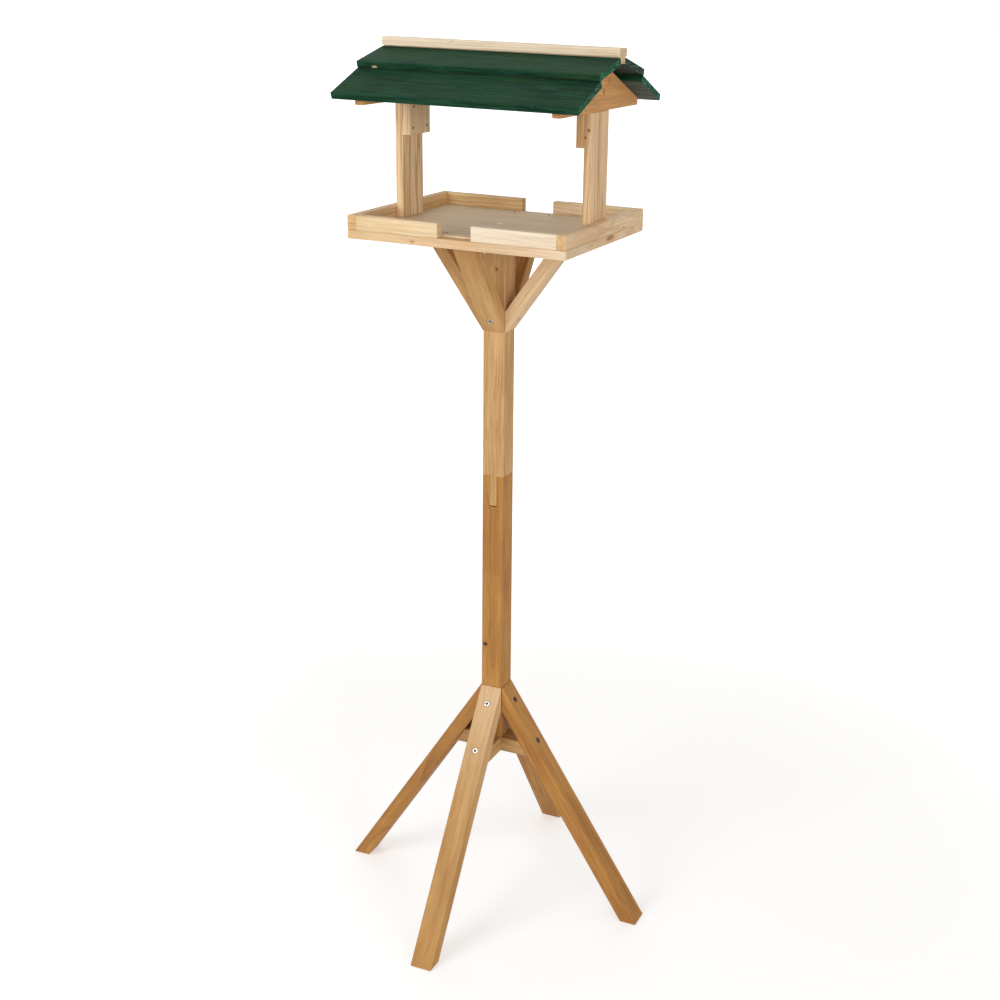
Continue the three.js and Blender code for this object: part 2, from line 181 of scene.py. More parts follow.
def mesh_arrays(node):
    """Points of a CAD node's mesh, with equal ones made one, and its triangles."""
    mesh = frame["nodes"][node].data
    points = vectors(mesh.vertices, "co")
    triangles = np.empty(len(mesh.loops), int)
    mesh.loops.foreach_get("vertex_index", triangles)
    microns = np.round(points / MM * MICRONS_PER_MM).astype(int)
    _, first, same = np.unique(microns, axis=0, return_index=True, return_inverse=True)
    return points[first], same.reshape(-1)[triangles].reshape(-1, 3)


def across(axis):
    """The two axes across this one, in an outline's order."""
    return [(axis + 1) % 3, (axis + 2) % 3]


def cross(a, b):
    """Cross product of flat vectors, row by row."""
    return a[:, 0] * b[:, 1] - a[:, 1] * b[:, 0]


def loop_area(loop):
    """Area inside a closed loop: half the sum of the cross products of neighbours."""
    return 0.5 * float(np.sum(cross(loop, np.roll(loop, -1, axis=0))))


def edges_of(outline):
    """Directions of an outline's edges, each from its corner to the next, and their lengths."""
    ahead = np.roll(outline, -1, axis=0) - outline
    length = np.linalg.norm(ahead, axis=1)
    return ahead / length[:, None], length


def end_outline(node, axis, near=0.01 * MM, straight=1e-3):
    """Outer corners of a node's face at its far end along the axis, anticlockwise from outside,
    with the node's two limits on that axis. An edge of that face that no second triangle
    shares belongs to a rim, and the rim with the largest area is the outline."""
    points, triangles = mesh_arrays(node)
    height = points[:, axis]
    low, high = float(height.min()), float(height.max())
    face = triangles[np.all(height[triangles] > high - near, axis=1)]
    edges = np.concatenate([face[:, (0, 1)], face[:, (1, 2)], face[:, (2, 0)]])
    pairs = set(map(tuple, edges.tolist()))
    following = {a: b for a, b in pairs if (b, a) not in pairs}
    loops = []
    while following:
        start, at = following.popitem()
        rim = [start]
        while at != start:
            rim.append(at)
            at = following.pop(at)
        loops.append(points[rim][:, across(axis)])
    outline = max(loops, key=loop_area)
    ahead, _ = edges_of(outline)
    turn = cross(np.roll(ahead, 1, axis=0), ahead)
    return outline[np.abs(turn) > straight], low, high


def slow_wave(along, period, seed, terms=3):
    """A smooth wave between 0 and 1: the mean of a few sines whose whole number of turns in the
    period, from 1 to 4, and whose starts are drawn from the seed."""
    rng = np.random.default_rng(seed)
    turns = rng.integers(1, 5, terms)
    starts = rng.uniform(0, 2 * pi, terms)
    angle = 2 * pi * np.asarray(along)[..., None] / period * turns + starts
    return 0.5 + 0.5 * np.sin(angle).mean(axis=-1)


# Points of an arris's quarter circle and of a corner's arc, and how far past an arris one more
# ring holds the faces flat
ARC_POINTS = 4
CORNER_POINTS = 4
HOLD = 0.35 * MM

# An arris's least wear and its range, as shares of its radius, the greatest share of an edge
# that a corner takes, and how far round a timber its wander moves with the height
WEAR_LEAST = 0.7
WEAR_RANGE = 0.5
EDGE_SHARE = 0.45
WANDER_SLANT = 0.35


def wear(along, period, seed):
    """A slow wave that rises from the least wear by its range."""
    return WEAR_LEAST + WEAR_RANGE * slow_wave(along, period, seed)


def closed_grid(rows, columns):
    """Faces of a grid of points whose rows are rings, with the two end rings filled."""
    index = np.arange(rows * columns).reshape(rows, columns)
    beside = np.roll(index, -1, axis=1)
    quads = np.stack([index[:-1], beside[:-1], beside[1:], index[1:]], axis=-1)
    return quads.reshape(-1, 4).tolist() + [index[0, ::-1].tolist(), index[-1].tolist()]


def rounded_prism(outline, low, high, arris, step, wander, seed):
    """A timber with rounded arrises: one closed grid of rings round an outline that is carried
    from low to high.

    Each ring is the outline moved inwards by a depth. Towards either end the depth grows as
    arris * (1 - sin t) while the height changes by arris * (1 - cos t), a quarter circle in
    t. A corner is the arc middle + radius * (cos a, sin a), with a going from one edge's
    outward normal to the next one's. A slow wave takes up to wander off each side."""
    count = len(outline)
    ahead, length = edges_of(outline)
    normal = np.stack([ahead[:, 1], -ahead[:, 0]], axis=1)
    before = np.roll(normal, 1, axis=0)
    mitre = (normal + before) / (1 + np.sum(normal * before, axis=1))[:, None]
    turn = np.arctan2(cross(before, normal), np.sum(before * normal, axis=1))
    shortest = np.minimum(length, np.roll(length, 1))
    radius = arris * np.minimum(1, 2 * np.sin(turn / 2) ** 2)
    widest = EDGE_SHARE * shortest / np.maximum(np.tan(np.abs(turn) / 2), 0.01)
    radius = np.where(turn > 0, np.minimum(radius, widest), 0)

    share = np.linspace(0, 1, CORNER_POINTS)
    angle = np.arctan2(before[:, 1], before[:, 0])[:, None] + turn[:, None] * share
    arc_normal = np.stack([np.cos(angle), np.sin(angle)], axis=-1).reshape(-1, 2)
    corner_of = np.repeat(np.arange(count), CORNER_POINTS)

    # Points round a ring: each corner's arc, then the points along the edge that follows it
    between = np.maximum(np.ceil(length / step).astype(int) - 1, 0)
    edge_of = np.repeat(np.arange(count), between)
    place = np.concatenate([np.arange(1, n + 1) / (n + 1) for n in between])
    order_arc = corner_of + np.tile(share * 0.01, count)
    order_edge = edge_of + 0.02 + place * 0.9
    order = np.argsort(np.concatenate([order_arc, order_edge]), kind="stable")
    start = edge_of * CORNER_POINTS + CORNER_POINTS - 1
    stop = (edge_of + 1) % count * CORNER_POINTS

    distance = np.concatenate([[0], np.cumsum(length)])
    perimeter = distance[-1]
    run_arc = distance[corner_of]
    run_edge = distance[edge_of] + place * length[edge_of]

    # Shares of the wear and of the hold in each end ring's depth, then in its height
    t = np.linspace(0, pi / 2, ARC_POINTS)
    arc = [(1 - sin(a), 0.0, 1 - cos(a), 0.0) for a in t]
    rise = np.array([(1.0, 1.0, 0.0, 0.0), *arc, (0.0, 0.0, 1.0, 1.0)])
    tall = high - low
    inner = max(int(ceil(tall / step)) - 1, 1)
    shares = np.arange(1, inner + 1) / (inner + 1)

    def ring_arrays(run):
        """Depth and height of every ring at these places round the outline."""
        worn = arris * wear(run, perimeter, seed + 1)
        depth_end = rise[:, 0:1] * worn + rise[:, 1:2] * HOLD
        height_end = rise[:, 2:3] * worn + rise[:, 3:4] * HOLD
        limit = (worn + HOLD)[None, :]
        middle = low + limit + shares[:, None] * (tall - 2 * limit)
        depth = np.concatenate([depth_end, np.zeros_like(middle), depth_end[::-1]])
        height = np.concatenate([low + height_end, middle, high - height_end[::-1]])
        wave = slow_wave(run[None, :] + WANDER_SLANT * (height - low), perimeter, seed + 2)
        return depth + wander * wave, height

    depth, height = ring_arrays(run_arc)
    worn_radius = radius[corner_of] * wear(height, 2 * tall, seed + 3)
    reach = np.maximum(worn_radius, depth)[..., None]
    swell = np.maximum(worn_radius - depth, 0)[..., None]
    arcs = outline[corner_of] - mitre[corner_of] * reach + arc_normal * swell
    _, height_edge = ring_arrays(run_edge)
    edges = arcs[:, start] * (1 - place)[:, None] + arcs[:, stop] * place[:, None]

    flat = np.concatenate([arcs, edges], axis=1)[:, order]
    rise_all = np.concatenate([height, height_edge], axis=1)[:, order]
    grid = np.concatenate([flat, rise_all[..., None]], axis=-1)
    return grid.reshape(-1, 3), closed_grid(*grid.shape[:2])


def turned_profile(profile, sides):
    """A solid of revolution about Z: each profile point (radius, height) becomes the ring
    (radius cos a, radius sin a, height), with a in equal steps; the ends are closed."""
    profile = np.asarray(profile)
    angle = np.arange(sides) / sides * 2 * pi
    ring = np.stack([np.cos(angle), np.sin(angle)], axis=1)
    points = np.empty((len(profile), sides, 3))
    points[..., :2] = profile[:, None, 0:1] * ring[None]
    points[..., 2] = profile[:, None, 1]
    return points.reshape(-1, 3), closed_grid(len(profile), sides)


def new_piece(name, points, faces, doubles=0.004 * MM, slivers=0.002 * MM):
    """An object at the origin with these points and faces, its doubles merged."""
    mesh = bpy.data.meshes.new(name)
    mesh.from_pydata(points, [], faces)
    shell = bmesh.new()
    shell.from_mesh(mesh)
    bmesh.ops.remove_doubles(shell, verts=shell.verts, dist=doubles)
    bmesh.ops.dissolve_degenerate(shell, edges=shell.edges, dist=slivers)
    shell.to_mesh(mesh)
    shell.free()
    piece = bpy.data.objects.new(name, mesh)
    bpy.context.scene.collection.objects.link(piece)
    return piece


# Screws and nails: radii, and lengths along the axis
SCREW_HEAD = 3.7 * MM
SCREW_SHANK = 1.75 * MM
SCREW_CONE = 2.3 * MM
SCREW_RIM = 0.4 * MM
SCREW_TIP = 5.0 * MM
SCREW_SINK = 0.4 * MM
NAIL_HEAD = 1.6 * MM
NAIL_SHANK = 0.8 * MM
NAIL_RIM = 0.8 * MM
NAIL_TIP = 2.0 * MM
POINT = 0.05 * MM
SEAT_GAP = 0.45 * MM
SEAT_MOUTH = 3 * MM
SCREW_SIDES = 48
NAIL_SIDES = 24
SEAT_SIDES = 32

# A screw's cross recess, and the dome of its head
RECESS_DEPTH = 1.6 * MM
RECESS_REACH = 2.4 * MM
RECESS_HALF = 0.85 * MM
HEAD_DOME = 0.12 * MM

# How much painted shade and painted dark reflection a screw takes, from 0 to 1, given for the
# screws that are seen dark
SCREW_PAINTED_SHADE = {
    "leg_right_upper_screw": 0.9,
    "leg_right_lower_screw": 0.9,
    "brace_right_screw": 0.7,
}


def fasteners():
    return [node for node in frame["nodes"] if "screw" in node or "nail" in node]


def is_nail(node):
    return "nail" in node


def fastener_axis(node, near=0.2 * MM):
    """Middle of a fastener's head, its outward direction and its length. The axis is the
    direction in which its points spread most, and the head is the end with the wider ring."""
    points, _ = mesh_arrays(node)
    middle = points.mean(axis=0)
    axis = np.linalg.svd(points - middle)[2][0]
    for _ in range(2):
        run = (points - middle) @ axis
        away = points - middle - run[:, None] * axis
        ends = (run > run.max() - near, run < run.min() + near)
        wide = [np.linalg.norm(away[end], axis=1).max() for end in ends]
        if wide[1] > wide[0]:
            axis = -axis
            ends = ends[::-1]
        head, tip = (points[end].mean(axis=0) for end in ends)
        axis = (head - tip) / np.linalg.norm(head - tip)
        middle = head
    return head, axis, float(np.linalg.norm(head - tip))


def facing(direction):
    """The turn that points Z this way."""
    return Vector(direction).to_track_quat("Z", "Y").to_matrix()


def onto_axis(points, place, axis, spin=0.0):
    """Points modelled about Z, turned so that Z is the axis, and moved to the place."""
    turn = facing(axis) @ Matrix.Rotation(spin, 3, "Z")
    return points @ np.array(turn).T + place


def seat_cutter(node):
    """What a fastener's seat takes out of the timber: room for the head, the shank's hole and a
    short mouth above, all a gap or two wider than the fastener."""
    head, axis, length = fastener_axis(node)
    gap = SEAT_GAP
    if is_nail(node):
        profile = [
            (NAIL_SHANK + gap, -length - gap),
            (NAIL_SHANK + gap, -NAIL_RIM - gap),
            (NAIL_HEAD + gap, -NAIL_RIM - gap),
            (NAIL_HEAD + gap, SEAT_MOUTH),
        ]
    else:
        profile = [
            (SCREW_SHANK + gap, -length - gap),
            (SCREW_SHANK + gap, -SCREW_CONE - 2 * gap),
            (SCREW_HEAD + gap, -SCREW_RIM - 2 * gap),
            (SCREW_HEAD + 2 * gap, SCREW_SINK),
            (SCREW_HEAD + 2 * gap, SEAT_MOUTH),
        ]
    points, faces = turned_profile(profile, SEAT_SIDES)
    return onto_axis(points, head, axis), faces


def boxes_meet(a, b):
    """Whether two nodes' boxes overlap on all three axes."""
    low_a, high_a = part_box(a)
    low_b, high_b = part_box(b)
    return all(low_a[i] < high_b[i] and low_b[i] < high_a[i] for i in range(3))


def crack_cutter(node):
    """A thin wedge along the line between a crack's two ends, which goes in from the front."""
    start, end = (np.array(place) * MM for place in CRACKS[node])
    along = (end - start) / np.linalg.norm(end - start)
    aside = np.cross(along, (0.0, 1.0, 0.0)) * CRACK_WIDTH / 2
    inwards = np.array((0.0, CRACK_DEPTH, 0.0))
    mouth = [start - aside, start + aside, end + aside, end - aside]
    points = np.array([place - inwards for place in mouth] + [start + inwards, end + inwards])
    faces = [[3, 2, 1, 0], [1, 4, 0], [5, 2, 3], [2, 5, 4, 1], [4, 5, 3, 0]]
    return points, faces


def cut_seats(piece, node):
    """Takes the seats of the fasteners that cross a timber, and its crack, out of its mesh."""
    cutters = [seat_cutter(name) for name in fasteners() if boxes_meet(name, node)]
    if node in CRACKS:
        cutters.append(crack_cutter(node))
    if not cutters:
        return
    all_points, all_faces = np.empty((0, 3)), []
    for points, faces in cutters:
        all_faces += [[corner + len(all_points) for corner in face] for face in faces]
        all_points = np.concatenate([all_points, points])
    cutter = new_piece(f"{node}.seats", all_points, all_faces)
    cut = piece.modifiers.new("Seats", "BOOLEAN")
    cut.operation = "DIFFERENCE"
    cut.solver = "EXACT"
    cut.object = cutter
    bpy.context.view_layer.update()
    graph = bpy.context.evaluated_depsgraph_get()
    whole = piece.data
    result = bpy.data.meshes.new_from_object(piece.evaluated_get(graph))
    piece.modifiers.clear()
    piece.data = result
    result.name = piece.name
    bpy.data.meshes.remove(whole)
    bpy.data.meshes.remove(cutter.data)


def put_attributes(mesh, **attributes):
    """Writes attributes of a mesh's points: a number or vector for each, or one number for all."""
    for name, values in attributes.items():
        kind, field = ("FLOAT_VECTOR", "vector") if np.ndim(values) == 2 else ("FLOAT", "value")
        if np.ndim(values) == 0:
            values = np.full(len(mesh.vertices), values)
        attribute = mesh.attributes.new(name, kind, "POINT")
        attribute.data.foreach_set(field, np.ascontiguousarray(values, np.float32).reshape(-1))


def longest_edge(outline, axis):
    """Direction in space of the longest edge of an outline across an axis, and its length."""
    ahead, length = edges_of(outline)
    edge = np.zeros(3)
    edge[across(axis)] = ahead[length.argmax()]
    return edge, length.max()


def grain_direction(outline, axis, tall):
    """The way the grain runs: along the outline's longest edge, or along the carried axis where
    that is longer still."""
    along, length = longest_edge(outline, axis)
    if tall >= length:
        along = np.zeros(3)
        along[axis] = 1.0
    return along * (1 if along[np.abs(along).argmax()] > 0 else -1)


def grain_basis(node, outline, axis, tall):
    """Unit vectors along the grain and twice across it. The second runs up a roof board's
    slope. On other timbers it is the carried axis, or the next one where the grain has that."""
    along = grain_direction(outline, axis, tall)
    other = np.zeros(3)
    other[axis] = 1.0
    if "board" in node:
        slope, _ = longest_edge(outline, axis)
        other = slope * np.sign(slope[Z])
    elif abs(along[axis]) > 0.9:
        other = np.roll(other, 1)
    return np.stack([along, other, np.cross(along, other)])


def write_grain(piece, node, outline, axis, tall):
    """Writes what the wood materials read at each point. Attribute grain holds millimetres
    along the grain and two across it from the pith; end_grain is how far the surface faces
    along the grain, and underside how far it faces down; arris is how far its normal lies
    between those of the flat faces; knot_a and knot_b are the way from a knot's middle, in
    knot radii, and dark_a and dark_b how dark they are; tone and plainness are the timber's."""
    mesh = piece.data
    timber = TIMBERS[node]
    rng = np.random.default_rng([ord(letter) for letter in node])
    points = vectors(mesh.vertices, "co")
    normals = vectors(mesh.vertex_normals, "vector")
    basis = grain_basis(node, outline, axis, tall)
    box_low, box_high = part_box(node)
    middle = (np.array(box_low) + np.array(box_high)) / 2
    local = (points - middle) @ basis.T / MM
    pith_angle = rng.uniform(0, 2 * pi)
    pith_away = rng.uniform(28, 60)
    pith = timber.pith or (pith_away * cos(pith_angle), pith_away * sin(pith_angle))
    drift = rng.uniform(-0.02, 0.02, 2)
    grain = local.copy()
    grain[:, 1:] += np.array(pith) + drift * local[:, :1]
    grain[:, 0] += rng.uniform(0, 5000)
    drawn_tone = rng.uniform(-0.5, 0.5)
    tone = np.atleast_1d(drawn_tone if timber.tone is None else timber.tone)
    share = (local[:, 0] - local[:, 0].min()) / np.ptp(local[:, 0])

    ahead, _ = edges_of(outline)
    flats = np.zeros((len(outline) + 2, 3))
    flats[:-2, across(axis)] = np.stack([ahead[:, 1], -ahead[:, 0]], axis=1)
    flats[-2:, axis] = 1, -1
    flatness = (normals @ flats.T).max(axis=1)
    put_attributes(
        mesh,
        grain=grain,
        end_grain=np.abs(normals @ basis[0]),
        underside=np.clip(-normals[:, Z], 0, 1),
        arris=np.clip((1 - flatness) / 0.2, 0, 1),
        tone=tone[0] + (tone[-1] - tone[0]) * share,
        plainness=timber.plainness,
    )

    knots = KNOTS.get(node, ()) + CHIPS.get(node, ())
    for number, letter in enumerate(KNOT_LETTERS):
        away, dark = np.full((len(points), 3), NO_KNOT), 0.0
        if number < len(knots):
            place, (radius_along, radius_across), dark = knots[number]
            radii = np.array((radius_along, radius_across, radius_across))
            away = (points / MM - np.array(place)) @ basis.T / radii
        put_attributes(mesh, **{f"knot_{letter}": away, f"dark_{letter}": dark})


def bevelled(outline, corner, size):
    """An outline with one corner cut off at this distance from it along both edges."""
    place = outline[corner]
    cut = []
    for neighbour in (outline[corner - 1], outline[(corner + 1) % len(outline)]):
        cut.append(place + size * (neighbour - place) / np.linalg.norm(neighbour - place))
    return np.concatenate([outline[:corner], cut, outline[corner + 1:]])


def finish_piece(piece, node, slot_name, sharp):
    """Shades a piece, gives it its slot's material and puts it in the place of its CAD node."""
    mesh = piece.data
    mesh.shade_smooth()
    mesh.set_sharp_from_angle(angle=sharp)
    mesh.materials.clear()
    mesh.materials.append(finish(slot_name))
    body = frame["nodes"][node]["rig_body"]
    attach(piece, body)
    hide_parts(node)


def make_timber(node, settings):
    """One timber: its node's outline, trimmed where it meets others, carried along its axis."""
    timber = TIMBERS[node]
    axis = timber.axis
    outline, low, high = end_outline(node, axis)
    arris, wander = settings.arris, settings.wander
    if "board" in node or "ridge" in node:
        arris, wander = BOARD_ARRIS_SHARE * arris, 0.0
    if "lower_board" in node:
        outline[outline[:, 1].argmax(), 1] += LAP_CONTACT
    if "upper_board" in node:
        outline = bevelled(outline, outline[:, 1].argmin(), LAP_BEVEL)
    if node in ("upper_post", "lower_post"):
        wander = 0.0
    if node == "upper_post":
        tongue = np.abs(outline[:, 1]) < TONGUE_SHARE * outline[:, 1].max()
        outline[tongue, 1] *= TONGUE_SWELL
    seed = sum(ord(letter) for letter in node) * 10
    points, faces = rounded_prism(outline, low, high, arris, settings.step, wander, seed)
    placed = np.empty_like(points)
    placed[:, across(axis) + [axis]] = points
    piece = new_piece(f"{node}.wood", placed, faces)
    cut_seats(piece, node)
    write_grain(piece, node, outline, axis, high - low)
    finish_piece(piece, node, timber.slot, sharp=radians(40))


class Web:
    """Lays out shader nodes: each call adds nodes and returns the last one's main output."""

    def __init__(self, tree):
        self.tree = tree

    def add(self, kind, inputs=(), **settings):
        """A new node with these settings, and its inputs fed by name or in order."""
        column, row = divmod(len(self.tree.nodes), 8)
        node = self.tree.nodes.new(kind)
        node.location = (220 * column, -220 * row)
        for name, value in settings.items():
            setattr(node, name, value)
        if isinstance(inputs, dict):
            sockets = [node.inputs[name] for name in inputs]
            inputs = inputs.values()
        else:
            sockets = [socket for socket in node.inputs if socket.enabled]
        for socket, value in zip(sockets, inputs):
            self.feed(socket, value)
        return node

    def feed(self, socket, value):
        """Links a socket, or sets its number, vector or opaque colour."""
        if isinstance(value, bpy.types.NodeSocket):
            self.tree.links.new(value, socket)
        else:
            socket.default_value = (*value, 1.0) if socket.type == "RGBA" else value

    def attribute(self, name, output="Fac"):
        return self.add("ShaderNodeAttribute", attribute_name=name).outputs[output]

    def maths(self, operation, *values):
        return self.add("ShaderNodeMath", values, operation=operation).outputs[0]

    def times(self, a, b):
        return self.maths("MULTIPLY", a, b)

    def vector(self, operation, *values):
        node = self.add("ShaderNodeVectorMath", values, operation=operation)
        return node.outputs["Value" if operation == "LENGTH" else "Vector"]

    def scaled(self, place, parts):
        return self.vector("MULTIPLY", place, parts)

    def stretch(self, grain, along, crosswise):
        """The grain's place, scaled along it and the same on both ways across it."""
        return self.scaled(grain, (along, crosswise, crosswise))

    def join(self, *values):
        return self.add("ShaderNodeCombineXYZ", values).outputs[0]

    def noise(self, place, scale=1.0, detail=2.0, roughness=0.5, output="Fac"):
        inputs = {"Vector": place, "Scale": scale, "Detail": detail, "Roughness": roughness}
        return self.add("ShaderNodeTexNoise", inputs).outputs[output]

    def shake(self, place, scale=1.0, detail=2.0):
        """Noise in three directions, about zero."""
        colour = self.noise(place, scale, detail, output="Color")
        return self.vector("SUBTRACT", colour, (0.5, 0.5, 0.5))

    def ramp(self, value, low, high, low_to=0.0, high_to=1.0, kind="SMOOTHSTEP"):
        """Goes from low_to to high_to while the value goes from low to high."""
        values = (value, low, high, low_to, high_to)
        return self.add("ShaderNodeMapRange", values, interpolation_type=kind).outputs[0]

    def line(self, value, low, high, low_to=0.0, high_to=1.0):
        """A ramp that is straight."""
        return self.ramp(value, low, high, low_to, high_to, "LINEAR")

    def blend(self, share, a, b, mode="MIX"):
        node = self.add("ShaderNodeMix", (share, a, b), data_type="RGBA", blend_type=mode)
        return next(socket for socket in node.outputs if socket.enabled)

    def tint(self, colour, factor):
        """One colour times another."""
        return self.blend(1.0, colour, factor, "MULTIPLY")


# The softwood group's outputs, each a number
FIGURE = ("Latewood", "Fibre", "Stripe", "Dashes", "Blotch", "Knot", "Knot rim", "Height")


def softwood_group():
    """Node group with the figure of sawn softwood, from the grain attribute in millimetres.

    The year rings are cylinders about the pith, bent by slow noise and pushed aside by knots.
    Latewood grows as a power of the share of a ring's width, and stops short at the ring's end.
    Each other pattern is noise that is stretched along the grain."""
    name = "Softwood"
    if name in bpy.data.node_groups:
        return bpy.data.node_groups[name]
    tree = bpy.data.node_groups.new(name, "ShaderNodeTree")
    for output in FIGURE:
        tree.interface.new_socket(output, in_out="OUTPUT", socket_type="NodeSocketFloat")
    tree.interface.new_socket("Ring width", in_out="INPUT", socket_type="NodeSocketFloat")
    web = Web(tree)
    given = web.add("NodeGroupInput").outputs
    grain = web.attribute("grain", "Vector")

    bend = web.shake(web.stretch(grain, 1 / 240, 1 / 55), detail=2.0)
    flutter = web.shake(web.stretch(grain, 1 / 70, 1 / 12), detail=1.0)
    bent = web.vector("ADD", grain, web.scaled(bend, (0.0, 22.0, 22.0)))
    bent = web.vector("ADD", bent, web.scaled(flutter, (0.0, 2.2, 2.2)))
    from_pith = web.vector("LENGTH", web.scaled(bent, (0.0, 1.0, 1.0)))

    swirl, knot, rim = 0.0, 0.0, 0.0
    for letter in KNOT_LETTERS:
        dark = web.attribute(f"dark_{letter}")
        away = web.attribute(f"knot_{letter}", "Vector")
        away = web.scaled(away, (0.55, 1.0, 1.0))
        jitter = web.scaled(web.shake(away, scale=1.6, detail=2.0), (0.5, 0.5, 0.5))
        distance = web.vector("LENGTH", web.vector("ADD", away, jitter))
        swirl = web.maths("ADD", swirl, web.ramp(distance, 0.4, 4.5, 4.2, 0.0))
        growth = web.ramp(web.maths("SINE", web.times(distance, 19.0)), -1, 1, 0.8, 1.0)
        heart = web.times(web.ramp(distance, 1.15, 0.5), web.times(dark, growth))
        knot = web.maths("MAXIMUM", knot, heart)
        rim = web.maths("MAXIMUM", rim, web.times(web.ramp(distance, 2.4, 0.9), dark))
    from_pith = web.maths("ADD", from_pith, swirl)

    spacing = web.noise(web.join(web.maths("DIVIDE", from_pith, 14.0), 0.0, 0.0), detail=1.0)
    year = web.maths("DIVIDE", from_pith, given["Ring width"])
    year = web.maths("ADD", year, web.times(spacing, 4.0))
    share = web.maths("FRACT", year)
    late = web.times(web.maths("POWER", share, 2.6), web.ramp(share, 1.0, 0.9))
    strength = web.noise(web.join(web.maths("FLOOR", year), 0.0, 0.0), 0.73, detail=0.0)
    late = web.times(late, web.ramp(strength, 0.25, 0.75, 0.45, 1.25))

    fibre = web.noise(web.stretch(grain, 1 / 30, 2.4), detail=3.0, roughness=0.65)
    thread = web.noise(web.stretch(grain, 1 / 90, 0.55), detail=2.0, roughness=0.6)
    fibre = web.maths("ADD", web.times(fibre, 0.55), web.times(thread, 0.45))
    stripe = web.noise(web.stretch(bent, 1 / 420, 1 / 4.5), detail=2.0, roughness=0.6)
    dashes = web.ramp(web.noise(web.stretch(grain, 1 / 7, 1.9), detail=1.0), 0.66, 0.78)
    blotch = web.noise(web.stretch(grain, 1 / 110, 1 / 22), detail=3.0, roughness=0.6)

    height = web.maths("SUBTRACT", web.times(late, 0.6), web.times(fibre, 0.9))
    height = web.maths("SUBTRACT", height, web.times(dashes, 0.35))
    outgoing = web.add("NodeGroupOutput").inputs
    for output, value in zip(FIGURE, (late, fibre, stripe, dashes, blotch, knot, rim, height)):
        web.feed(outgoing[output], value)
    return tree


# Bare pine, linear: early wood, late wood, large blotches, a pale board, and the rings' width
PINES = {
    "brown_pine": (
        (0.56, 0.276, 0.068), (0.19, 0.06, 0.012), (0.43, 0.19, 0.043), (0.86, 0.45, 0.18), 4.6,
    ),
    "tan_pine": (
        (0.66, 0.4, 0.16), (0.34, 0.148, 0.043), (0.53, 0.28, 0.095), (0.92, 0.68, 0.42), 4.4,
    ),
    "pale_pine": (
        (0.63, 0.395, 0.17), (0.34, 0.168, 0.054), (0.53, 0.3, 0.115), (0.78, 0.57, 0.34), 4.0,
    ),
    "pink_pine": (
        (0.86, 0.655, 0.415), (0.49, 0.268, 0.118), (0.76, 0.5, 0.27), (0.9, 0.76, 0.58), 4.8,
    ),
    "cream_pine": (
        (0.88, 0.7, 0.45), (0.52, 0.3, 0.13), (0.8, 0.57, 0.31), (0.92, 0.8, 0.64), 4.8,
    ),
}

# What pine's colour is multiplied by: at a tone of -1, on worn arrises, on sawn ends for tones of
# 0 and 1, and around a knot; the greyer, darker end at a tone of 1 is end grain with painted
# shade. Then a knot's own brown and its darkest part
DEEPER = (0.86, 0.75, 0.56)
WORN = (1.06, 1.06, 1.06)
END_OF_DEEP = (0.93, 0.82, 0.66)
END_OF_PALE_WITH_SHADE = (0.72, 0.67, 0.60)
KNOT_RIM = (0.9, 0.62, 0.45)
KNOT_BROWN = (0.28, 0.130, 0.038)
KNOT_BLACK = (0.020, 0.008, 0.004)

# The green stain, linear, on early and on late wood. Its layers name a pattern, the values
# where it starts and is full, its greatest share and its colour
STAIN_RING_WIDTH = 3.4
STAIN = (0.011, 0.054, 0.026)
STAIN_ON_LATEWOOD = (0.0045, 0.026, 0.013)
STAIN_LAYERS = (
    ("strokes", 0.48, 0.66, 0.8, (0.022, 0.090, 0.048)),
    ("strokes", 0.47, 0.32, 0.8, (0.003, 0.016, 0.009)),
    ("clouds", 0.5, 0.68, 0.5, (0.026, 0.066, 0.024)),
    ("clouds", 0.48, 0.32, 0.5, (0.0025, 0.018, 0.012)),
    ("lines", 0.54, 0.68, 0.55, (0.042, 0.125, 0.075)),
    ("lines", 0.46, 0.34, 0.55, (0.002, 0.013, 0.008)),
)
# The underside's grey coat: a thinner stain, made paler as painted bounce light from the floor
UNDERSIDE_STAIN_AND_BOUNCE = ((0.055, 0.066, 0.055), (0.10, 0.115, 0.10))
STAINED_END = ((0.006, 0.048, 0.024), (0.013, 0.125, 0.062))
DARK_STAINED_END = (0.014, 0.034, 0.026)
BARE_FLECK = (0.27, 0.40, 0.28)
SCRATCHED = (0.13, 0.24, 0.15)
CHIPPED = (0.72, 0.55, 0.30)
STAIN_ON_ARRIS = (0.02, 0.10, 0.05)

# The plywood, linear: its face, its late wood, bright fibres and dark dashes
PLY_RING_WIDTH = 9.0
PLY = (0.79, 0.595, 0.385)
PLY_LATEWOOD = (0.56, 0.38, 0.225)
PLY_FIBRE = (0.85, 0.685, 0.475)
PLY_DASH = (0.36, 0.24, 0.16)

# The steels: colour and roughness. Then the painted shade and dark reflection that some screws
# take, and the painted shade in a screw's recess
STEELS = {
    "screw_steel": ((0.60, 0.59, 0.57), 0.32),
    "nail_steel": ((0.13, 0.105, 0.085), 0.55),
}
PAINTED_SHADE_ON_STEEL = (0.06, 0.044, 0.030)
PAINTED_RECESS_SHADE = (0.02, 0.019, 0.018)


def cleared_web(owner):
    """A web on the emptied node tree of a material or world."""
    owner.use_nodes = True
    owner.node_tree.nodes.clear()
    return Web(owner.node_tree)


def new_material(name):
    return cleared_web(bpy.data.materials.new(name))


def end_with(web, kind, shader):
    """Feeds a shader to the output node."""
    web.add(kind, {"Surface": shader.outputs[0]})


